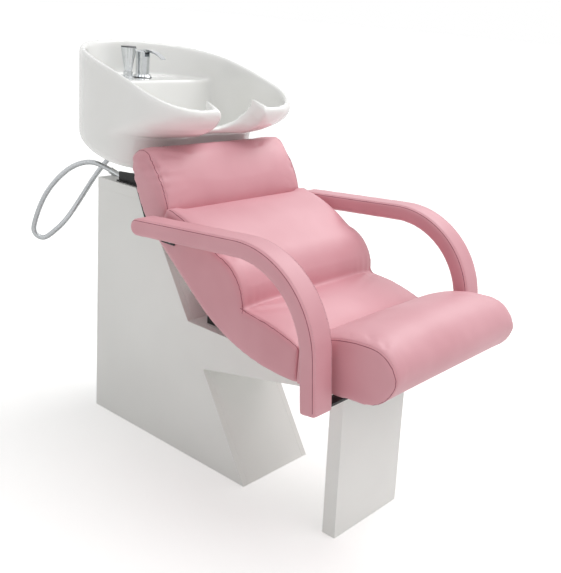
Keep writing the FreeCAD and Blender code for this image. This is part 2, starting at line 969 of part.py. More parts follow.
# Basin: a glazed bowl with a tap deck at the rear, a neck recess at the front and a skirt below
def basin_plan(inset, height, front, corner, recess):
    """One plan outline of the basin as a wire at a height, drawn in by inset all round."""
    half = half_basin - inset
    rear_centre = basin_rear + half_basin
    corner_forward = front - corner
    corner_x = half_basin - corner
    neck_radius = (neck_half_width ** 2 + recess ** 2) / (2 * recess) + inset
    neck_centre = front - recess + neck_radius - inset
    front = front - inset
    neck_x = math.sqrt(neck_radius ** 2 - (neck_centre - front) ** 2)
    diagonal = (corner - inset) * math.sqrt(half_share)

    def spot(x, forward):
        return at(x, forward, height)

    def line(a, b):
        return Part.LineSegment(a, b).toShape()

    def arc(a, b, c):
        return Part.Arc(a, b, c).toShape()

    edges = [
        arc(spot(half, rear_centre), spot(0, rear_centre - half), spot(-half, rear_centre)),
        line(spot(-half, rear_centre), spot(-half, corner_forward)),
        arc(
            spot(-half, corner_forward),
            spot(-corner_x - diagonal, corner_forward + diagonal),
            spot(-corner_x, front),
        ),
        line(spot(-corner_x, front), spot(-neck_x, front)),
        arc(spot(-neck_x, front), spot(0, neck_centre - neck_radius), spot(neck_x, front)),
        line(spot(neck_x, front), spot(corner_x, front)),
        arc(
            spot(corner_x, front),
            spot(corner_x + diagonal, corner_forward + diagonal),
            spot(half, corner_forward),
        ),
        line(spot(half, corner_forward), spot(half, rear_centre)),
    ]
    return Part.Wire(edges)


def basin_body(inset, rise):
    """The basin's round form: upright above the brow, drawn back at the front below it, less deep by rise."""
    high = basin_rear_rim + 2 * overrun
    brow = basin_plan(inset, basin_brow, basin_front, basin_corner, neck_recess)
    upper = Part.Face(brow).extrude(Vector(0, 0, high - basin_brow))
    depth = basin_brow - basin_under_height + overrun - rise
    reach = basin_front - basin_under_forward
    wires = [brow]
    for fall, front, corner, recess in zip(
        basin_fall_shares, basin_front_shares, basin_corner_shares, neck_recess_shares
    ):
        wires.append(
            basin_plan(
                inset,
                basin_brow - fall * depth,
                basin_under_forward + front * reach,
                corner * basin_corner,
                recess * neck_recess,
            )
        )
    lower = Part.makeLoft(wires, True, True)
    return upper.fuse(lower).Solids[0]


def under_height(forward):
    return basin_under_height + (basin_under_forward - forward) * math.tan(math.radians(basin_under_slope))


def basin_outside():
    rim_front = basin_front + overrun
    rim_rear = basin_rear - overrun
    start = (rim_front, under_height(rim_front))
    steps = [
        ((rim_front, basin_front_rim),),
        ((basin_mid_forward, basin_mid_rim), (rim_rear, basin_rear_rim)),
        ((rim_rear, under_height(rim_rear)),),
        (start,),
    ]
    profile = slab(start, steps, -half_basin - overrun, half_basin + overrun)
    return basin_body(0, 0).common(profile)


def basin_hollow():
    """The washing hollow: a floor round the drain, a step up to the tap deck, open above."""
    high = basin_rear_rim + overrun
    floor_rear = drain_forward - drain_flange_radius - basin_wall
    points = [
        (floor_rear, basin_drain_level),
        (basin_front, basin_drain_level),
        (basin_front, high),
        (basin_rear, high),
        (basin_rear, basin_deck_height),
        (basin_deck_front, basin_deck_height),
    ]
    profile = polygon_slab(points, -half_basin, half_basin)
    return basin_body(basin_wall, basin_front_rise).common(profile)


def basin_pocket():
    """The space under the tap deck, open below, that the tap tails and the hose come through."""
    low = basin_under_height
    high = basin_deck_height - basin_floor
    floor_rear = drain_forward - drain_flange_radius - basin_wall
    slope = (floor_rear - basin_deck_front) / (basin_deck_height - basin_drain_level)
    wall_run = basin_wall * math.sqrt(1 + slope ** 2)
    top_forward = basin_deck_front - wall_run + slope * basin_floor
    bottom_forward = top_forward + slope * (high - low)
    start = (basin_rear, low)
    points = [start, (bottom_forward, low), (top_forward, high), (basin_rear, high)]
    return basin_body(basin_wall, 0).common(polygon_slab(points, -half_basin, half_basin))


def neck_trough():
    """The round trough that the neck lies in, cut through the front wall."""
    radius = (neck_half_width ** 2 + neck_depth ** 2) / (2 * neck_depth)
    height = basin_front_rim - neck_depth + radius
    return rod(radius, at(0, basin_front + overrun, height), at(0, basin_mid_forward, height))


def basin():
    shape = basin_outside()
    low_edges = []
    for edge in shape.Edges:
        middle = edge.CenterOfMass
        on_under = all(
            abs(vertex.Point.z - under_height(back_y - vertex.Point.y)) < seat_gap for vertex in edge.Vertexes
        )
        if on_under and back_y - middle.y < basin_under_forward - seat_gap:
            low_edges.append(edge)
    shape = shape.makeFillet(basin_under_round, low_edges)
    shape = shape.cut(basin_hollow())
    shape = shape.cut(basin_pocket())
    shape = shape.cut(neck_trough())
    drain_top = at(0, drain_forward, basin_drain_level)
    drop = Vector(0, 0, basin_drain_level - basin_under_height + overrun)
    shape = shape.cut(rod(drain_hole_radius, drain_top - drop, drain_top + Vector(0, 0, overrun)))
    deck = Vector(0, 0, basin_floor + overrun)
    for x, radius in ((mixer_x, mixer_hole_radius), (holder_x, holder_hole_radius)):
        seat = at(x, tap_forward, basin_deck_height)
        shape = shape.cut(rod(radius, seat - deck, seat + Vector(0, 0, overrun)))
    rim_edges = rim_edges_of(shape)
    shape = shape.makeChamfer(basin_rim_round, rim_edges)
    for bolt in plate_bolts():
        shape = shape.cut(bolt)
    save("basin", shape)


def rim_edges_of(shape):
    """The upper edges of the rim, outside and inside, away from the neck trough."""
    edges = []
    for edge in shape.Edges:
        box = edge.BoundBox
        clear_of_neck = min(abs(box.XMin), abs(box.XMax)) > neck_half_width or box.YMax > back_y
        if box.ZMin > basin_front_rim - seat_gap and box.ZLength + box.XLength > basin_wall and clear_of_neck:
            if edge.CenterOfMass.z > basin_front_rim and box.ZMax > basin_deck_height + overrun:
                edges.append(edge)
    return edges


# Basin waste: flange, seal, nut and tail, with a hair strainer that lifts out
def basin_waste():
    top = at(0, drain_forward, basin_drain_level)
    tail_end = at(0, drain_forward, drain_tail_end)
    inner_radius = drain_tube_radius - drain_tube_wall
    seat = top + Vector(0, 0, drain_seal)
    flange = tube(drain_flange_radius, inner_radius, seat, seat + Vector(0, 0, drain_flange))
    save("waste_seal", tube(drain_flange_radius, drain_thread_radius, top, seat))
    under = under_height(drain_forward) - drain_flange_radius * math.tan(math.radians(basin_under_slope))
    nut_top = at(0, drain_forward, under)
    nut_end = nut_top - Vector(0, 0, drain_nut)
    thread = tube(drain_thread_radius, inner_radius, nut_end, seat)
    tail = tube(drain_tube_radius, inner_radius, tail_end, nut_end)
    save("waste_tail", flange.multiFuse([thread, tail]).removeSplitter())
    nut = hexagon(drain_nut_radius, nut_end, nut_top)
    save("waste_nut", nut.cut(rod(drain_thread_radius, nut_end, nut_top)))
    strainer(seat + Vector(0, 0, drain_flange))


def strainer(seat):
    up = Vector(0, 0, 1)
    lip_radius = drain_tube_radius
    disc = rod(lip_radius, seat, seat + up * strainer_thickness)
    plug = rod(strainer_radius, seat - up * strainer_thickness, seat)
    stem = rod(strainer_stem_radius, seat, seat + up * strainer_stem)
    knob = Part.makeCone(strainer_stem_radius, strainer_knob_radius, strainer_knob, seat + up * strainer_stem)
    shape = disc.multiFuse([plug, stem, knob])
    for index in range(strainer_holes):
        angle = 2 * math.pi * index / strainer_holes
        place = seat + Vector(math.cos(angle), math.sin(angle), 0) * strainer_ring_radius
        reach = up * strainer_thickness * 2
        shape = shape.cut(rod(strainer_hole_radius, place - reach, place + reach))
    save("hair_strainer", shape)


# Tilt bracket: a lower plate on the lid and an upper plate under the basin, pinned through their ears
def plate_frame():
    slope = math.radians(basin_under_slope)
    along = (math.cos(slope), -math.sin(slope))
    normal = (-math.sin(slope), -math.cos(slope))
    return along, normal


def under_spot(along_distance, drop):
    """A side point measured back along the basin's underside from its front edge, then square below it."""
    along, normal = plate_frame()
    forward = basin_under_forward - along[0] * along_distance + normal[0] * drop
    return (forward, basin_under_height - along[1] * along_distance + normal[1] * drop)


def plate_bolts():
    bolts = []
    inset = plate_bolt_head_radius * 2
    for x in (-plate_bolt_spacing / 2, plate_bolt_spacing / 2):
        for distance in (basin_under_round + inset, upper_plate_length + basin_under_round - inset):
            tip = at(x, *under_spot(distance, -plate_bolt_depth))
            seat = at(x, *under_spot(distance, plate_thickness))
            head_end = at(x, *under_spot(distance, plate_thickness + plate_bolt_head))
            shank = rod(plate_bolt_radius, tip, seat)
            bolts.append(shank.fuse(rod(plate_bolt_head_radius, seat, head_end)))
    return bolts


def tilt_bracket():
    lower, lower_bolts = tilt_lower()
    upper = tilt_upper()
    pins = []
    nuts = []
    for sign in (-1, 1):
        inside = sign * (ear_spacing / 2 - 2 * ear_gap - ear_thickness)
        outside = sign * (ear_spacing / 2 + ear_thickness)
        start = pivot_at(inside - sign * pivot_nut)
        end = pivot_at(outside + sign * pivot_nut)
        pins.append(rod(pivot_radius, start, end))
        nuts.append(tube(pivot_nut_radius, pivot_radius, start, pivot_at(inside)))
        nuts.append(tube(pivot_nut_radius, pivot_radius, pivot_at(outside), end))
    reach = plate_width / 2
    lower = lower.cut(rod(pivot_radius, pivot_at(-reach), pivot_at(reach)))
    upper = upper.cut(rod(pivot_radius + pivot_clearance, pivot_at(-reach), pivot_at(reach)))
    save("tilt_lower_plate", lower.removeSplitter())
    save("tilt_upper_plate", upper.removeSplitter())
    save("tilt_pins", *pins)
    save("tilt_nuts", *nuts)
    save("lid_bolts", *lower_bolts)
    save("basin_bolts", *plate_bolts())


def pivot_at(x):
    return at(x, pivot_forward, pivot_height)


def tilt_lower():
    """The lower half: a slotted plate on the lid with a cheek standing along each side."""
    half_plate = plate_width / 2
    top = cabinet_height + plate_thickness
    front = pivot_forward + ear_radius
    plate = block(-half_plate, half_plate, lower_plate_rear, front, cabinet_height, top)
    slot_half = lid_opening_width / 2
    slot_front = lid_opening_rear + lid_opening_length
    below = cabinet_height - overrun
    slot = block(-slot_half, slot_half, lid_opening_rear, slot_front, below, top + overrun)
    plate = plate.cut(slot)
    bolts = []
    for x, forward in lid_bolt_places():
        seat = at(x, forward, top)
        shank = rod(plate_bolt_radius, seat - Vector(0, 0, plate_bolt_depth), seat)
        bolt = shank.fuse(rod(plate_bolt_head_radius, seat, seat + Vector(0, 0, plate_bolt_head)))
        plate = plate.cut(bolt)
        bolts.append(bolt)
    for sign in (-1, 1):
        x_low, x_high = sorted((sign * ear_spacing / 2, sign * (ear_spacing / 2 + ear_thickness)))
        cheek = polygon_slab(
            [
                (lower_plate_rear, cabinet_height),
                (front, cabinet_height),
                (front, pivot_height),
                (pivot_forward - ear_radius, pivot_height),
                (lower_plate_rear, cabinet_height + cheek_rear_height),
            ],
            x_low,
            x_high,
        )
        plate = plate.fuse(cheek.fuse(rod(ear_radius, pivot_at(x_low), pivot_at(x_high))))
    return plate, bolts


def tilt_upper():
    """The upper half: a plate under the basin with an ear hanging inside each lower cheek."""
    half_plate = plate_width / 2
    near = basin_under_round
    far = near + upper_plate_length
    corners = [
        under_spot(near, 0),
        under_spot(far, 0),
        under_spot(far, plate_thickness),
        under_spot(near, plate_thickness),
    ]
    plate = polygon_slab(corners, -half_plate, half_plate)
    drain_foot = at(0, drain_forward, basin_under_height)
    plate = plate.cut(rod(plate_opening_radius, drain_foot, at(0, drain_forward, basin_drain_level)))
    for bolt in plate_bolts():
        plate = plate.cut(bolt)
    for sign in (-1, 1):
        outer = sign * (ear_spacing / 2 - ear_gap)
        x_low, x_high = sorted((outer, outer - sign * ear_thickness))
        web = polygon_slab(
            [
                under_spot(near + ear_radius, plate_thickness * half_share),
                under_spot(far - ear_radius, plate_thickness * half_share),
                (pivot_forward - ear_radius, pivot_height),
                (pivot_forward + ear_radius, pivot_height),
            ],
            x_low,
            x_high,
        )
        plate = plate.fuse(web.fuse(rod(ear_radius, pivot_at(x_low), pivot_at(x_high))))
    return plate


# Mixer: body clamped through the deck, cartridge inside, a cap that swivels and a lever that lifts
def mixer():
    up = Vector(0, 0, 1)
    deck = at(mixer_x, tap_forward, basin_deck_height)
    seat = deck + up * mixer_seal
    save("mixer_seal", tube(mixer_flange_radius, mixer_shank_radius, deck, seat))
    flange_top = seat + up * mixer_flange
    body_top = flange_top + up * mixer_body_height
    flange = Part.makeCone(mixer_flange_radius, mixer_body_radius + mixer_seal, mixer_flange, seat)
    body = flange.fuse(rod(mixer_body_radius, flange_top, body_top))
    shank_end = deck - up * (basin_floor + mixer_shank)
    body = body.fuse(rod(mixer_shank_radius, shank_end, seat))
    cartridge_seat = body_top - up * cartridge_height
    cartridge = rod(cartridge_radius, cartridge_seat, body_top)
    body = body.cut(cartridge)
    tails = []
    for x in (-mixer_tail_spacing / 2, mixer_tail_spacing / 2):
        start = shank_end + Vector(x, 0, 0)
        tail = rod(mixer_tail_radius, start - up * mixer_tail_length, start)
        tails.append(tail)
    save("mixer_body", body.removeSplitter())
    stem = rod(cartridge_stem_radius, body_top, body_top + up * cartridge_stem)
    save("mixer_cartridge", cartridge.fuse(stem))
    save("mixer_cold_tail", tails[1])
    save("mixer_hot_tail", tails[0])
    nut_top = deck - up * basin_floor
    nut = hexagon(mixer_nut_radius, nut_top - up * mixer_nut, nut_top)
    save("mixer_nut", nut.cut(rod(mixer_shank_radius, nut_top - up * mixer_nut, nut_top)))
    mixer_cap(body_top)


def mixer_cap(body_top):
    up = Vector(0, 0, 1)
    base = body_top + up * cap_gap
    shoulder = base + up * (cap_height - cap_crown)
    crown = Part.makeCone(cap_radius, cap_crown_radius, cap_crown, shoulder)
    shell = rod(cap_radius, base, shoulder).fuse(crown)
    stem_bore = rod(cartridge_stem_radius + cap_gap, body_top, base + up * (cartridge_stem + cap_gap))
    shell = shell.cut(stem_bore)
    pin = base + up * (cap_height - lever_thickness)
    slot_half = lever_width / 2 + lever_slot_gap
    x = mixer_x
    slot = block(
        x - slot_half,
        x + slot_half,
        tap_forward - cap_radius / 2,
        tap_forward + cap_radius + overrun,
        pin.z - lever_slot_depth,
        pin.z + cap_height,
    )
    shell = shell.cut(slot)
    pin_reach = Vector(slot_half + cap_wall, 0, 0)
    pin_shape = rod(lever_pin_radius, pin - pin_reach, pin + pin_reach)
    shell = shell.cut(pin_shape)
    save("mixer_cap", shell)
    save("lever_pin", pin_shape)
    lever(pin)


def lever(pin):
    """The lever: a bar pinned in the cap that runs forward over the basin and droops at its tip."""
    half = lever_width / 2
    forward = back_y - pin.y
    rear = forward - cap_radius / 2 + 2 * lever_slot_gap
    low = pin.z - lever_thickness + 2 * lever_slot_gap
    start = (rear, low)
    steps = [
        ((forward + cap_radius, pin.z + lever_slot_gap),),
        (
            (forward + lever_length * lever_under_share, pin.z + lever_arch),
            (forward + lever_length, pin.z - lever_droop),
        ),
        ((forward + lever_length, pin.z - lever_droop + lever_thickness / 2),),
        (
            (forward + lever_length * lever_top_share, pin.z + lever_arch + lever_thickness),
            (forward, pin.z + lever_thickness + lever_slot_gap),
        ),
        ((rear, pin.z + lever_thickness / 2),),
        (start,),
    ]
    shape = slab(start, steps, pin.x - half, pin.x + half)
    bore_reach = Vector(cap_radius, 0, 0)
    bore = rod(lever_pin_radius + pivot_clearance, pin - bore_reach, pin + bore_reach)
    save("mixer_lever", shape.cut(bore))


# Hand shower: stands in a sleeve in the deck, with its hose running down through it
def hand_shower():
    up = Vector(0, 0, 1)
    deck = at(holder_x, tap_forward, basin_deck_height)
    flange_top = deck + up * holder_flange
    top = deck + up * holder_height
    sleeve_end = deck - up * (basin_floor + holder_sleeve)
    holder = rod(holder_flange_radius, deck, flange_top)
    holder = holder.fuse(rod(holder_hole_radius - seat_gap, sleeve_end, top))
    bore = rod(holder_bore_radius, sleeve_end - up * overrun, top + up * overrun)
    save("shower_holder", holder.cut(bore).removeSplitter())
    nut_top = deck - up * basin_floor
    nut = hexagon(holder_nut_radius, nut_top - up * holder_nut, nut_top)
    save("shower_holder_nut", nut.cut(rod(holder_hole_radius - seat_gap, nut_top - up * holder_nut, nut_top)))
    foot = top - up * shower_foot
    neck = top + up * seat_gap
    head = neck + up * shower_height
    face_seat = head - up * shower_face
    body = rod(shower_foot_radius, foot, neck)
    cone = Part.makeCone(shower_neck_radius, shower_head_radius, shower_height - shower_face, neck)
    body = body.fuse(cone)
    save("hand_shower", body)
    save("spray_face", rod(shower_head_radius - seat_gap * 2, face_seat, head))
    nut_end = foot - up * hose_nut
    save("hose_nut", rod(hose_nut_radius, nut_end, foot))
    riser_foot = Vector(deck.x, deck.y, riser_end)
    save("hose_riser", rod(hose_radius, riser_foot, nut_end))


# Shower hose: the loop that hangs behind the cabinet, as points across, forward and height above the lid
hose_route = [
    (-25.0, -6.0, 170.0),
    (-25.0, -6.0, 145.0),
    (-26.0, -12.0, 110.0),
    (-29.0, -29.0, 76.0),
    (-36.0, -54.0, 46.0),
    (-48.0, -78.0, 14.0),
    (-70.0, -92.0, -22.0),
    (-103.0, -94.0, -65.0),
    (-136.0, -95.0, -107.0),
    (-164.0, -106.0, -148.0),
    (-185.0, -130.0, -180.0),
    (-197.0, -145.5, -196.0),
    (-205.0, -155.0, -198.5),
    (-212.0, -164.5, -194.5),
    (-217.5, -171.5, -185.5),
    (-219.5, -174.0, -173.5),
    (-216.5, -170.0, -150.0),
    (-208.0, -159.0, -107.0),
    (-195.0, -143.0, -63.0),
    (-173.0, -117.0, -18.0),
    (-148.0, -88.0, 16.0),
    (-122.0, -56.0, 32.0),
    (-100.0, -27.0, 29.0),
    (-84.0, -2.0, 14.0),
]


def hose_spot(place):
    x, forward, rise = place
    return at(x, forward, cabinet_height + rise)


def rounded_path(points):
    """Straight runs joined by tangent arcs, each as large as its two runs allow."""
    edges = []
    start = points[0]
    for before, corner, after in zip(points, points[1:], points[2:]):
        back = before - corner
        ahead = after - corner
        turn = math.pi - back.getAngle(ahead)
        reach = bend_reach_share * min(back.Length, ahead.Length)
        radius = reach / math.tan(turn / 2)
        enter = corner + back.normalize() * reach
        leave = corner + ahead.normalize() * reach
        bisector = (enter + leave) * half_share - corner
        middle = corner + bisector.normalize() * (math.hypot(radius, reach) - radius)
        edges.append(Part.LineSegment(start, enter).toShape())
        edges.append(Part.Arc(enter, middle, leave).toShape())
        print("hose bend radius", round(radius, 1), "turn", round(math.degrees(turn), 1))
        start = leave
    edges.append(Part.LineSegment(start, points[-1]).toShape())
    return Part.Wire(edges)


def shower_hose():
    points = [hose_spot(place) for place in hose_route]
    path = rounded_path(points)
    first = points[0]
    direction = points[1] - first
    section = Part.Wire(Part.makeCircle(hose_radius, first, direction))
    hose = path.makePipeShell([section], True, False)
    save("shower_hose", hose)


os.makedirs("parts", exist_ok=True)
cabinet()
leg_bolts = front_leg()
seat_frame(leg_bolts)
shell, bend_point, top_point = seat_shell()
back_gussets(bend_point, top_point)
back = back_cushion(shell)
seat_cushion(shell)
front_bolster()
head_cushion(back)
head_backboard(bend_point, top_point)
for screw in armrests():
    shell = shell.cut(screw)
save("seat_shell", shell)
basin()
basin_waste()
tilt_bracket()
mixer()
hand_shower()
shower_hose()
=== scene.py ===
import json
import math

import bmesh
import bpy
import numpy as np
from mathutils import Matrix, Vector


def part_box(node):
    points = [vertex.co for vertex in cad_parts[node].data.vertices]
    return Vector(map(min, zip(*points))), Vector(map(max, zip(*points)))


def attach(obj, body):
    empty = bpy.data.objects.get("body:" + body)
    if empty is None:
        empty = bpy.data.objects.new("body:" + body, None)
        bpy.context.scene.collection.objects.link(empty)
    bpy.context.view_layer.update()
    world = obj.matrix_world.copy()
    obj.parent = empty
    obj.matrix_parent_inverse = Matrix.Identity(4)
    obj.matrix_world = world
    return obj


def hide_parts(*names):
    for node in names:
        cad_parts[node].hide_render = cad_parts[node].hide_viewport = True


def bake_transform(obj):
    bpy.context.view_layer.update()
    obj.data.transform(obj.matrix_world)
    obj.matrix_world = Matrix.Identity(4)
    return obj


# Salon backwash unit: a reclined seat on a white cabinet, with a tilting basin behind the head.
# Metres; X runs across, -Y towards the sitter's feet, Z up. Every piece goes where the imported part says.
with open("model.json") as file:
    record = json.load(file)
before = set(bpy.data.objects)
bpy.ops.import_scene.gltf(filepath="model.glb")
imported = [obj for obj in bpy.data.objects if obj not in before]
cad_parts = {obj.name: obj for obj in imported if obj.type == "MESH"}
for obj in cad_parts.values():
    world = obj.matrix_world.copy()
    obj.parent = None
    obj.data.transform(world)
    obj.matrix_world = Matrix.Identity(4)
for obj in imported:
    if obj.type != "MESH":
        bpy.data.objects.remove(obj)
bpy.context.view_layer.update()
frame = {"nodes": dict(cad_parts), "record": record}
scene = bpy.context.scene
scene.view_settings.view_transform = "Standard"


# Camera, matched to the photograph's view.
# It stands at the sitter's front right, above the arm, and is turned a little about its own axis.
camera_place = Vector((-1.5299, -1.3543, 1.1706))
camera_yaw = -0.8740
camera_pitch = 0.3210
camera_roll = 0.0820
camera_lens = 52.74
camera_sensor = 36.0
camera_data = bpy.data.cameras.new("camera")
camera_data.lens = camera_lens
camera_data.sensor_width = camera_sensor
camera = bpy.data.objects.new("camera", camera_data)
scene.collection.objects.link(camera)
turn = Matrix.Rotation(camera_yaw, 4, "Z") @ Matrix.Rotation(math.pi / 2 - camera_pitch, 4, "X")
camera.matrix_world = Matrix.Translation(camera_place) @ turn @ Matrix.Rotation(camera_roll, 4, "Z")
scene.camera = camera


# Cabinet and front leg: boards and one thick panel, glued and screwed, sprayed with white satin lacquer.
# Each board is its CAD solid with its edges eased, as they are sanded before spraying.
board_easing = 0.0012
easing_steps = 2
same_point = 0.00002
flat_angle = math.radians(1.0)
drift_low_share = 0.4
drift_high_share = 0.7


def colour(code):
    """Linear colour of a hex sRGB code."""
    shares = [int(code[i:i + 2], 16) / 255 for i in (0, 2, 4)]
    return [c / 12.92 if c <= 0.04045 else ((c + 0.055) / 1.055) ** 2.4 for c in shares] + [1.0]


def add_node(tree, kind, settings, links):
    """Adds a node: settings go on its own sockets, links join its sockets to other nodes' outputs."""
    made = tree.nodes.new(kind)
    for socket, value in settings.items():
        made.inputs[socket].default_value = value
    for socket, output in links.items():
        tree.links.new(output, made.inputs[socket])
    return made


def worked_finish(
    name,
    tones,
    glosses,
    shine,
    patch=0.017,
    grain=0.0011,
    depth=0.00003,
    grain_kind="ShaderNodeTexNoise",
):
    """A finish whose tone and gloss drift over patches, with a fine grain.

    glosses are its least and greatest roughness, and shine holds the shader's other settings.
    patch and grain are sizes across and depth is the grain's height, in metres.
    Where they are left out, they suit a small part with a fine tooth.
    """
    material = bpy.data.materials.new(name)
    material.use_nodes = True
    tree = material.node_tree
    shader = tree.nodes["Principled BSDF"]
    for socket, value in shine.items():
        shader.inputs[socket].default_value = value
    place = add_node(tree, "ShaderNodeTexCoord", {}, {}).outputs["Object"]
    drift = add_node(tree, "ShaderNodeTexNoise", {"Scale": 1 / patch}, {"Vector": place}).outputs["Fac"]
    edges = {"From Min": drift_low_share, "From Max": drift_high_share}
    spread = add_node(tree, "ShaderNodeMapRange", edges, {"Value": drift})
    ends = {"Color1": colour(tones[0]), "Color2": colour(tones[1])}
    tone = add_node(tree, "ShaderNodeMixRGB", ends, {"Fac": spread.outputs["Result"]})
    limits = {"To Min": glosses[0], "To Max": glosses[1]}
    gloss = add_node(tree, "ShaderNodeMapRange", limits, {"Value": drift})
    tooth = add_node(tree, grain_kind, {"Scale": 1 / grain}, {"Vector": place}).outputs[0]
    relief = add_node(tree, "ShaderNodeBump", {"Strength": 1.0, "Distance": depth}, {"Height": tooth})
    tree.links.new(tone.outputs["Color"], shader.inputs["Base Color"])
    tree.links.new(gloss.outputs["Result"], shader.inputs["Roughness"])
    tree.links.new(relief.outputs["Normal"], shader.inputs["Normal"])
    return material


def nodes_in(slot):
    return [row["node"] for row in frame["record"]["subparts"] if row["material_slot"] == slot]


def finish_nodes(slot, material):
    for node in nodes_in(slot):
        mesh = frame["nodes"][node].data
        mesh.materials.clear()
        mesh.materials.append(material)


def joined_form(*nodes):
    """Copies of CAD nodes' meshes as one form, with their loose triangles joined."""
    form = bmesh.new()
    for node in nodes:
        form.from_mesh(frame["nodes"][node].data)
    bmesh.ops.remove_doubles(form, verts=form.verts, dist=same_point)
    return form


def add_piece(name, form, material):
    mesh = bpy.data.meshes.new(name)
    form.to_mesh(mesh)
    form.free()
    piece = bpy.data.objects.new(name, mesh)
    mesh.materials.append(material)
    scene.collection.objects.link(piece)
    return piece


def eased_board(node):
    form = joined_form(node)
    bmesh.ops.dissolve_limit(form, angle_limit=flat_angle, verts=form.verts, edges=form.edges)
    piece = add_piece(node + "_eased", form, satin_lacquer)
    easing = piece.modifiers.new("easing", "BEVEL")
    easing.width = board_easing
    easing.segments = easing_steps
    easing.limit_method = "ANGLE"
    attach(piece, "base")
    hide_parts(node)


# Sprayed satin lacquer: an even white with a faint orange peel 2.4 mm across, which blurs what it reflects.
satin_lacquer = worked_finish(
    "satin_lacquer",
    tones=("F5F5F2", "EFEFEC"),
    glosses=(0.3, 0.42),
    shine={"IOR": 1.5},
    patch=0.33,
    grain=0.0024,
    depth=0.00002,
)
finish_nodes("white_board", satin_lacquer)
for board in nodes_in("white_board"):
    eased_board(board)


# Back panel's cleats: sawn pine battens screwed inside the cabinet, left bare.
# Sawn pine: dull straw with darker streaks and saw marks about 1 mm apart.
sawn_pine = worked_finish(
    "sawn_pine",
    tones=("B99A6E", "A68659"),
    glosses=(0.6, 0.8),
    shine={"IOR": 1.45},
)
finish_nodes("raw_wood", sawn_pine)


# Steelwork: the seat frame, arm bars, brackets and tilt plates are cut, bent and welded, then powder-coated.
# The gussets that show between seat and cabinet are coated white, the rest black.
# Powder coat: a dull even colour with a fine pebble about 1.1 mm across.
black_powder_coat = worked_finish(
    "black_powder_coat",
    tones=("1A1A1B", "242425"),
    glosses=(0.42, 0.58),
    shine={"IOR": 1.5},
)
finish_nodes("black_steel", black_powder_coat)
white_powder_coat = worked_finish(
    "white_powder_coat",
    tones=("F2F2EF", "EBEBE8"),
    glosses=(0.42, 0.58),
    shine={"IOR": 1.5},
)
finish_nodes("white_steel", white_powder_coat)


# Fasteners: bolts, nuts, pins and screws of zinc-plated steel, which hold the frame, arms and bracket.
# Zinc plate: a cool grey metal with a slightly cloudy gloss.
zinc_plate = worked_finish(
    "zinc_plate",
    tones=("B4B6B6", "A2A5A6"),
    glosses=(0.26, 0.38),
    shine={"Metallic": 1.0},
    depth=0.00002,
)
finish_nodes("zinc_steel", zinc_plate)


# Seat and back: foam on a moulded shell, under one sewn cover whose side panel runs over all three.
# The CAD forms are remeshed as one and blown up as cloth, with the sides and resting faces held still.
soft_voxel = 0.006
soften_passes = 6
soften_share = 0.5
air_pressure = 3.0
air_frames = 20
air_quality = 3
seat_swell = 0.005
rest_share = 0.7
least_move = 1e-9
panel_edge = 0.035
crease_margin = 0.05
back_passes = 120


def settle(piece):
    """Keeps what a piece's modifiers make as its own mesh."""
    graph = bpy.context.evaluated_depsgraph_get()
    mesh = bpy.data.meshes.new_from_object(piece.evaluated_get(graph))
    piece.modifiers.clear()
    piece.data = mesh


def softened(nodes, name, material, voxel, passes):
    """CAD forms remeshed as one even skin, with their edges smoothed."""
    piece = add_piece(name, joined_form(*nodes), material)
    remesh = piece.modifiers.new("voxels", "REMESH")
    remesh.mode = "VOXEL"
    remesh.voxel_size = voxel
    smooth = piece.modifiers.new("soften", "SMOOTH")
    smooth.factor = soften_share
    smooth.iterations = passes
    settle(piece)
    piece.data.shade_smooth()
    return piece


def points_of(piece):
    spots = np.empty(len(piece.data.vertices) * 3)
    piece.data.vertices.foreach_get("co", spots)
    return spots.reshape(-1, 3)


def normals_of(piece):
    turns = np.empty(len(piece.data.vertices) * 3)
    piece.data.vertex_normals.foreach_get("vector", turns)
    return turns.reshape(-1, 3)


def set_points(piece, spots):
    piece.data.vertices.foreach_set("co", spots.ravel())
    piece.data.update()


def add_group(piece, name, chosen):
    group = piece.vertex_groups.new(name=name)
    group.add([int(i) for i in np.flatnonzero(chosen)], 1.0, "REPLACE")
    return group.name


def blow_up(piece, held, cap):
    """Swells a piece as cloth with air inside: held points stay, and no point moves further than cap."""
    start = points_of(piece)
    cloth = piece.modifiers.new("air", "CLOTH")
    cloth.settings.vertex_group_mass = add_group(piece, "held", held)
    cloth.settings.use_pressure = True
    cloth.settings.uniform_pressure_force = air_pressure
    cloth.settings.effector_weights.gravity = 0.0
    cloth.settings.quality = air_quality
    cloth.collision_settings.use_collision = False
    for step in range(1, air_frames + 1):
        scene.frame_set(step)
    settle(piece)
    scene.frame_set(1)
    moved = points_of(piece) - start
    reach = np.maximum(np.linalg.norm(moved, axis=1, keepdims=True), least_move)
    set_points(piece, start + moved * np.minimum(1.0, cap / reach))
    piece.vertex_groups.clear()


def ripple(piece, anchor, across, pitch, reach, height):
    """Soft folds round an anchor point that fade over reach, spaced at pitch along the across direction."""
    spots = points_of(piece)
    away = spots - np.array(anchor)
    phase = away @ np.array(across) * (2 * math.pi / pitch)
    fade = np.exp(-np.sum(away ** 2, axis=1) / reach ** 2)
    set_points(piece, spots + normals_of(piece) * (height * np.sin(phase) * fade)[:, None])


def between_ends(piece):
    """Marks the points that lie between the end panels."""
    across = np.abs(points_of(piece)[:, 0])
    return across < across.max() - panel_edge


def even_out(piece, chosen, passes):
    """Smooths the chosen points further."""
    smooth = piece.modifiers.new("even", "SMOOTH")
    smooth.vertex_group = add_group(piece, "chosen", chosen)
    smooth.factor = soften_share
    smooth.iterations = passes
    settle(piece)
    piece.vertex_groups.clear()


def dress(piece, nodes):
    """Puts a finished cover in the place of its CAD nodes."""
    piece.data.shade_smooth()
    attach(piece, "base")
    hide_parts(*nodes)


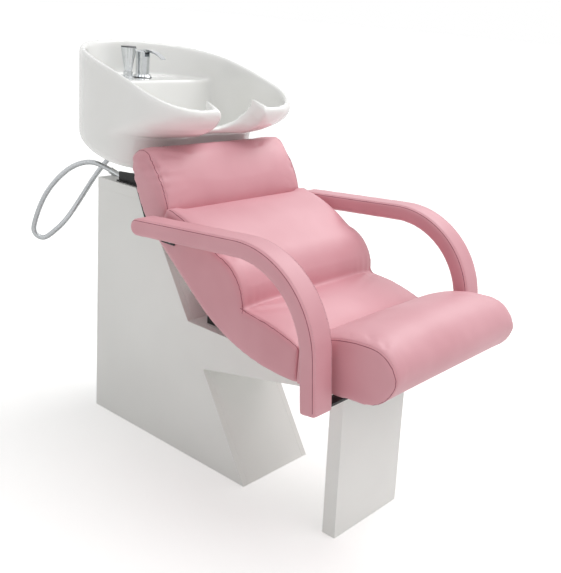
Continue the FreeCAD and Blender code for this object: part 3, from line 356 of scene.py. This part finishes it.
def cushion(nodes, cap, rests, folds):
    """One cover: held where its faces look along a direction in rests, free where it is seen."""
    piece = softened(nodes, nodes[0] + "_cover", leathercloth, soft_voxel, soften_passes)
    turns = normals_of(piece)
    held = np.zeros(len(turns), bool)
    for rest in rests:
        held |= turns @ np.array(rest) > rest_share
    blow_up(piece, held, cap)
    for fold in folds:
        ripple(piece, *fold)
    dress(piece, nodes)
    return piece


# Leathercloth: embossed with a pebble 1.6 mm across, with a soft gloss that pales the pink on the lit tops.
leathercloth = worked_finish(
    "pink_leathercloth",
    tones=("DB9BA5", "D5939D"),
    glosses=(0.46, 0.58),
    shine={"Specular IOR Level": 0.8, "Sheen Weight": 0.1, "Coat Weight": 0.4, "Coat Roughness": 0.48},
    patch=0.14,
    grain=0.0016,
    depth=0.0001,
    grain_kind="ShaderNodeTexVoronoi",
)
finish_nodes("pink_leather", leathercloth)
to_left = (1.0, 0.0, 0.0)
to_right = (-1.0, 0.0, 0.0)
to_front = (0.0, -1.0, 0.0)
to_rear = (0.0, 1.0, 0.0)
down = (0.0, 0.0, -1.0)
under_back = (0.0, 0.57, -0.82)
top_of_back = (0.0, 0.82, 0.57)
back_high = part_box("back_cushion")[1]
seat_low, seat_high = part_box("seat_cushion")
gather_inset = 0.03
gather_pitch = 0.024
gather_reach = 0.04
gather_height = 0.0011
gathers = []
for gather_x in (seat_low[0] + gather_inset, seat_high[0] - gather_inset):
    crease_end = (gather_x, seat_high[1], seat_high[2])
    back_corner = (gather_x, back_high[1] - gather_inset, back_high[2] - gather_inset)
    for gather_spot in (crease_end, back_corner):
        gathers.append((gather_spot, to_left, gather_pitch, gather_reach, gather_height))
seat_nodes = ("seat_shell", "back_cushion", "seat_cushion")
seat_rests = (to_left, to_right, to_front, to_rear, down, under_back, top_of_back)
seat_cover = cushion(seat_nodes, seat_swell, seat_rests, gathers)
above_crease = points_of(seat_cover)[:, 2] > seat_high[2] + crease_margin
even_out(seat_cover, between_ends(seat_cover) & above_crease, back_passes)


# Front bolster: a firm foam roll for the knees, sewn with flat D-shaped ends and screwed to the seat frame.
# Its rear, underside and ends are held, so only its top and front swell.
bolster_swell = 0.004
bolster_passes = 24
bolster_rests = (to_rear, down, to_left, to_right)
bolster_cover = cushion(("front_bolster",), bolster_swell, bolster_rests, ())
even_out(bolster_cover, between_ends(bolster_cover), bolster_passes)


# Head cushion: a thick pad on a covered black backboard, which two brackets carry above the back.
# Its rear rests on the board, and its foot is pressed down onto the back. Folds gather in its near end panel.
# Covered board: black cloth-backed vinyl, dull, with a fine tooth.
black_vinyl = worked_finish(
    "black_vinyl",
    tones=("161616", "1F1F20"),
    glosses=(0.5, 0.7),
    shine={"IOR": 1.5},
)
finish_nodes("black_board", black_vinyl)
head_swell = 0.005
fold_rearward = 0.02
fold_below_top = 0.05
fold_across = (0.0, 0.35, 0.94)
fold_pitch = 0.026
fold_reach = 0.06
fold_height = 0.0022
head_low, head_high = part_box("head_cushion")
head_middle = (head_low[1] + head_high[1]) / 2
fold_spot = (head_low[0], head_middle + fold_rearward, head_high[2] - fold_below_top)
head_folds = [(fold_spot, fold_across, fold_pitch, fold_reach, fold_height)]
behind_head = (0.0, 0.9, -0.44)
under_head = (0.0, -0.44, -0.9)
foot_drop = 0.006
head_cover = cushion(("head_cushion",), head_swell, (behind_head, under_head), head_folds)
# The pad is pressed down: its underside moves by foot_drop, and its sides less and less.
foot_shares = np.clip(normals_of(head_cover) @ np.array(under_head), 0.0, 1.0) ** 2
dropped = np.outer(foot_shares, np.array(under_head) * foot_drop)
set_points(head_cover, points_of(head_cover) + dropped)


# Armrests: bent steel bars in foam, with leathercloth drawn tight round them.
# Only their edges soften, so they are remeshed and smoothed and not blown up.
arm_voxel = 0.005
arm_passes = 4


def arm_cover(node):
    piece = softened((node,), node + "_cover", leathercloth, arm_voxel, arm_passes)
    dress(piece, (node,))
    return piece


arm_covers = {node: arm_cover(node) for node in ("armrest_pad_left", "armrest_pad_right")}


# Seams: each end panel is sewn to the broad cover, with a row of stitches beside the seam.
# Each line follows the flat end of its CAD solid and lies on the finished cover.
seam_radius = 0.001
stitch_radius = 0.0008
stitch_share = 0.65
stitch_offset = 0.009
stitch_in_share = 0.85
seam_out_share = 0.6
seam_in_share = 0.3
seam_step = 0.006
seam_sunk_share = 0.4
end_depth = 0.001
flat_share = 0.999
thread_sides = 6
top_share = 0.5
upper_half_share = 0.0
nearly_round_share = -0.5


def end_loop(node, side):
    """The edge of a node's flat end face towards -X or +X, as points in order."""
    form = joined_form(node)
    far = max(vert.co.x * side for vert in form.verts)
    flat = set()
    for face in form.faces:
        at_end = face.calc_center_median().x * side > far - end_depth
        if at_end and face.normal.x * side > flat_share:
            flat.add(face)
    after = {}
    for face in flat:
        for loop in face.loops:
            beside = loop.link_loop_radial_next
            if beside == loop or beside.face not in flat:
                after[loop.vert.index] = loop.link_loop_next.vert.index
    places = {vert.index: tuple(vert.co) for vert in form.verts}
    form.free()
    first = max(after, key=lambda index: places[index][2])
    order = [first]
    while after[order[-1]] != first and len(order) <= len(after):
        order.append(after[order[-1]])
    return np.array([places[index] for index in order])


def evenly(points, step):
    """Points spaced evenly round a closed line."""
    line = np.vstack([points, points[:1]])
    runs = np.concatenate([[0.0], np.cumsum(np.linalg.norm(np.diff(line, axis=0), axis=1))])
    marks = np.linspace(0.0, runs[-1], int(runs[-1] / step), endpoint=False)
    return np.stack([np.interp(marks, runs, line[:, axis]) for axis in range(3)], axis=1)


def outward_from(points, distance):
    """Steps of a given length out of a closed side line, square to it."""
    ahead = np.roll(points, -1, axis=0) - np.roll(points, 1, axis=0)
    square = np.stack([np.zeros(len(points)), -ahead[:, 2], ahead[:, 1]], axis=1)
    square /= np.maximum(np.linalg.norm(square, axis=1, keepdims=True), least_move)
    outside = np.sign(np.sum(square * (points - points.mean(axis=0))))
    return square * distance * outside


def on_cover(piece, points, lift):
    """The nearest spots on a cover, lifted off it by lift."""
    laid = []
    for point in points:
        _, spot, normal, _ = piece.closest_point_on_mesh(Vector(point))
        laid.append(spot + normal * lift)
    return laid


def add_thread(form, start, end, radius):
    """Adds one straight length of thread."""
    run = end - start
    if run.length < same_point:
        return
    turned = run.to_track_quat("Z", "Y").to_matrix().to_4x4()
    place = Matrix.Translation((start + end) / 2) @ turned
    bmesh.ops.create_cone(
        form,
        cap_ends=True,
        segments=thread_sides,
        radius1=radius,
        radius2=radius,
        depth=run.length,
        matrix=place,
    )


def seam_ends(node, piece, facing, least_share):
    """Sews both end panels of a piece to its broad cover, with stitches on the broad side.

    Only the part of each panel's edge that looks along facing by at least least_share is sewn.
    """
    for side, word in ((-1, "right"), (1, "left")):
        line = evenly(end_loop(node, side), seam_step)
        outward = outward_from(line, stitch_offset)
        inward = Vector((-side * stitch_offset, 0.0, 0.0))
        shown = np.flatnonzero(outward @ np.array(facing) > least_share * stitch_offset)
        seam_line = line + outward * seam_out_share + np.array(inward) * seam_in_share
        seam = on_cover(piece, seam_line, -seam_radius * seam_sunk_share)
        row = on_cover(piece, line + outward + np.array(inward) * stitch_in_share, 0.0)
        seam_form = bmesh.new()
        stitch_form = bmesh.new()
        for index in shown:
            add_thread(seam_form, seam[index - 1], seam[index], seam_radius)
            run = row[index] - row[index - 1]
            add_thread(stitch_form, row[index - 1], row[index - 1] + run * stitch_share, stitch_radius)
        sewn = add_piece(node + "_seam_" + word, seam_form, seam_edge)
        stitched = add_piece(node + "_stitches_" + word, stitch_form, stitch_thread)
        for thread in (sewn, stitched):
            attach(thread, "base")


# Folded seam edge: the leathercloth's turned-in edge, darker because it lies in its own shade.
seam_edge = worked_finish(
    "seam_edge",
    tones=("A3606C", "955460"),
    glosses=(0.6, 0.8),
    shine={"IOR": 1.5},
)
# Bonded polyester thread: paler than the cover, with a silky gloss.
stitch_thread = worked_finish(
    "stitch_thread",
    tones=("DDA9B1", "D49DA6"),
    glosses=(0.4, 0.5),
    shine={"IOR": 1.5},
)
up = (0.0, 0.0, 1.0)
front_and_top = (0.0, -0.6, 0.8)
seam_ends("back_cushion", seat_cover, front_and_top, top_share)
seam_ends("seat_cushion", seat_cover, up, top_share)
seam_ends("front_bolster", bolster_cover, front_and_top, nearly_round_share)
seam_ends("head_cushion", head_cover, front_and_top, upper_half_share)
for arm, arm_piece in arm_covers.items():
    seam_ends(arm, arm_piece, front_and_top, upper_half_share)


# Basin: a slip-cast bowl with a trough for the neck, glazed and fired, bolted to the tilt bracket.
# The CAD form is remeshed finely and softened, so rim, horns and lower wall flow into each other.
# White glaze: glossy and smooth, with a slow waviness about 40 mm across that bends its reflections.
basin_voxel = 0.0042
basin_passes = 26
white_glaze = worked_finish(
    "white_glaze",
    tones=("F8F8F6", "F4F4F1"),
    glosses=(0.08, 0.16),
    shine={"Coat Weight": 0.8, "Coat Roughness": 0.05},
    patch=0.2,
    grain=0.038,
    depth=0.00008,
)
finish_nodes("white_glaze", white_glaze)
bowl = softened(("basin",), "basin_glazed", white_glaze, basin_voxel, basin_passes)
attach(bowl, "bowl")
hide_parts("basin")


# Waste and tap fittings: plated brass turnings and castings, clamped to the bowl with nuts and soft seals.
# They keep their CAD forms, which are turned, so only their finishes are given here.
# Chrome plate: a bright mirror, very slightly hazed where it is handled.
chrome_plate = worked_finish(
    "chrome_plate",
    tones=("D3D6D8", "CBCED1"),
    glosses=(0.06, 0.16),
    shine={"Metallic": 1.0},
    patch=0.011,
    grain=0.0033,
    depth=0.000004,
)
finish_nodes("chrome", chrome_plate)
# Turned brass: warm metal with fine tool marks.
turned_brass = worked_finish(
    "turned_brass",
    tones=("B9945A", "A98450"),
    glosses=(0.25, 0.35),
    shine={"Metallic": 1.0},
    depth=0.00002,
)
finish_nodes("brass", turned_brass)
# Moulded nylon and acetal: milky white and mid grey, with the mould's fine spark texture.
white_nylon = worked_finish(
    "white_nylon",
    tones=("E6E6E4", "DADAD8"),
    glosses=(0.38, 0.52),
    shine={"IOR": 1.53},
)
finish_nodes("white_plastic", white_nylon)
grey_acetal = worked_finish(
    "grey_acetal",
    tones=("6A6C6E", "5C5E60"),
    glosses=(0.42, 0.58),
    shine={"IOR": 1.48},
)
finish_nodes("grey_plastic", grey_acetal)
# Nitrile rubber: dull black with a dusty bloom.
nitrile_rubber = worked_finish(
    "nitrile_rubber",
    tones=("202021", "2A2A2B"),
    glosses=(0.6, 0.8),
    shine={"IOR": 1.52},
)
finish_nodes("black_rubber", nitrile_rubber)


# Shower hose: wound steel strip over a rubber tube, from the hand shower's riser down in a loop to the lid.
# Its route repeats the part's points: across, forward of the cabinet's back, and height above the lid.
hose_radius = 0.007
hose_steps = 12
hose_roundness = 5
hose_order = 3
cabinet_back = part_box("cabinet_lid")[1][1]
lid_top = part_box("cabinet_lid")[1][2]
hose_route = [
    (-0.025, -0.006, 0.17),
    (-0.025, -0.006, 0.145),
    (-0.026, -0.012, 0.11),
    (-0.029, -0.029, 0.076),
    (-0.036, -0.054, 0.046),
    (-0.048, -0.078, 0.014),
    (-0.07, -0.092, -0.022),
    (-0.103, -0.094, -0.065),
    (-0.136, -0.095, -0.107),
    (-0.164, -0.106, -0.148),
    (-0.185, -0.13, -0.18),
    (-0.197, -0.1455, -0.196),
    (-0.205, -0.155, -0.1985),
    (-0.212, -0.1645, -0.1945),
    (-0.2175, -0.1715, -0.1855),
    (-0.2195, -0.174, -0.1735),
    (-0.2165, -0.17, -0.15),
    (-0.208, -0.159, -0.107),
    (-0.195, -0.143, -0.063),
    (-0.173, -0.117, -0.018),
    (-0.148, -0.088, 0.016),
    (-0.122, -0.056, 0.032),
    (-0.1, -0.027, 0.029),
    (-0.084, -0.002, 0.014),
]


def hose_mesh(bevel):
    """The hose's line as a mesh: a bare path, or a closed tube where bevel is its radius."""
    data = bpy.data.curves.new("shower_hose_line", "CURVE")
    data.dimensions = "3D"
    data.resolution_u = hose_steps
    data.bevel_depth = bevel
    data.bevel_resolution = hose_roundness
    data.use_fill_caps = bevel > 0
    spline = data.splines.new("NURBS")
    spline.points.add(len(hose_route) - 1)
    for point, (x, forward, rise) in zip(spline.points, hose_route):
        point.co = (x, cabinet_back - forward, lid_top + rise, 1.0)
    spline.order_u = hose_order
    spline.use_endpoint_u = True
    line = bpy.data.objects.new("shower_hose_line", data)
    scene.collection.objects.link(line)
    mesh = bpy.data.meshes.new_from_object(line.evaluated_get(bpy.context.evaluated_depsgraph_get()))
    bpy.data.objects.remove(line)
    return mesh


# Wound steel strip: bright metal. Its turns are too fine to show, so they are drawn as a 2 mm grain.
hose_steel = worked_finish(
    "hose_steel",
    tones=("C3C6C8", "B8BBBE"),
    glosses=(0.16, 0.28),
    shine={"Metallic": 1.0},
    patch=0.005,
    grain=0.002,
    depth=0.00002,
)
hose_path = [tuple(vert.co) for vert in hose_mesh(0.0).vertices]
hose = bpy.data.objects.new("shower_hose_tube", hose_mesh(hose_radius))
scene.collection.objects.link(hose)
hose.data.materials.clear()
hose.data.materials.append(hose_steel)
hose.data.shade_smooth()
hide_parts("shower_hose")
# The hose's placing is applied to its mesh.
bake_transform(hose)


# Studio: a pale floor, a white room that is brighter above, and soft lamps from above, front and sides.
# The room shows white to the camera and in the chrome, and lights the object at a lower level.
floor_size = 60.0
floor_lift = 0.27
world_side = 0.3
world_top = 0.73
world_seen = 1.0
floor_form = bmesh.new()
bmesh.ops.create_grid(floor_form, x_segments=1, y_segments=1, size=floor_size)
# Floor paper: matt white, and too even for its grain to show.
floor_paper = worked_finish(
    "floor_paper",
    tones=("FBFBFA", "F9F9F8"),
    glosses=(0.88, 0.92),
    shine={"IOR": 1.45},
    patch=3.0,
    grain=0.01,
    depth=0.00001,
)
floor_tree = floor_paper.node_tree
floor_shader = floor_tree.nodes["Principled BSDF"]
floor_shader.inputs["Emission Color"].default_value = colour("FFFFFF")
seen_floor = add_node(floor_tree, "ShaderNodeLightPath", {}, {}).outputs["Is Camera Ray"]
lifted = add_node(floor_tree, "ShaderNodeMapRange", {"To Max": floor_lift}, {"Value": seen_floor})
floor_tree.links.new(lifted.outputs["Result"], floor_shader.inputs["Emission Strength"])
floor = add_piece("studio_floor", floor_form, floor_paper)

world = bpy.data.worlds.new("studio")
world.use_nodes = True
room = world.node_tree
backing = room.nodes["Background"]
backing.inputs["Color"].default_value = colour("FFFFFF")
way = add_node(room, "ShaderNodeTexCoord", {}, {}).outputs["Generated"]
height = add_node(room, "ShaderNodeSeparateXYZ", {}, {"Vector": way}).outputs["Z"]
glow = add_node(room, "ShaderNodeMapRange", {"To Min": world_side, "To Max": world_top}, {"Value": height})
ray = add_node(room, "ShaderNodeLightPath", {}, {}).outputs
straight = add_node(room, "ShaderNodeMath", {}, {0: ray["Is Camera Ray"], 1: ray["Is Glossy Ray"]})
seen = add_node(room, "ShaderNodeMath", {}, {0: straight.outputs["Value"], 1: ray["Is Transmission Ray"]})
level_links = {"Value": seen.outputs["Value"], "To Min": glow.outputs["Result"]}
level = add_node(room, "ShaderNodeMapRange", {"To Max": world_seen}, level_links)
room.links.new(level.outputs["Result"], backing.inputs["Strength"])
scene.world = world


def add_lamp(name, kind, place, power):
    """Adds a lamp that points at the middle of the unit."""
    data = bpy.data.lights.new(name, kind)
    data.energy = power
    lamp = bpy.data.objects.new(name, data)
    lamp.location = place
    lamp.rotation_euler = (unit_middle - Vector(place)).to_track_quat("-Z", "Y").to_euler()
    scene.collection.objects.link(lamp)
    return data


unit_middle = Vector((0.0, 0.0, 0.6))
key = add_lamp("key", "SUN", place=(0.8, -1.1, 3.5), power=0.95)
key.angle = math.radians(50.0)
left_window = add_lamp("left_window", "AREA", place=(-2.6, 0.6, 1.9), power=1.5)
left_window.size = 1.6
front_window = add_lamp("front_window", "AREA", place=(1.0, -2.8, 2.0), power=4.0)
front_window.size = 1.6
right_window = add_lamp("right_window", "AREA", place=(1.9, -0.1, 2.5), power=16.0)
right_window.size = 1.2
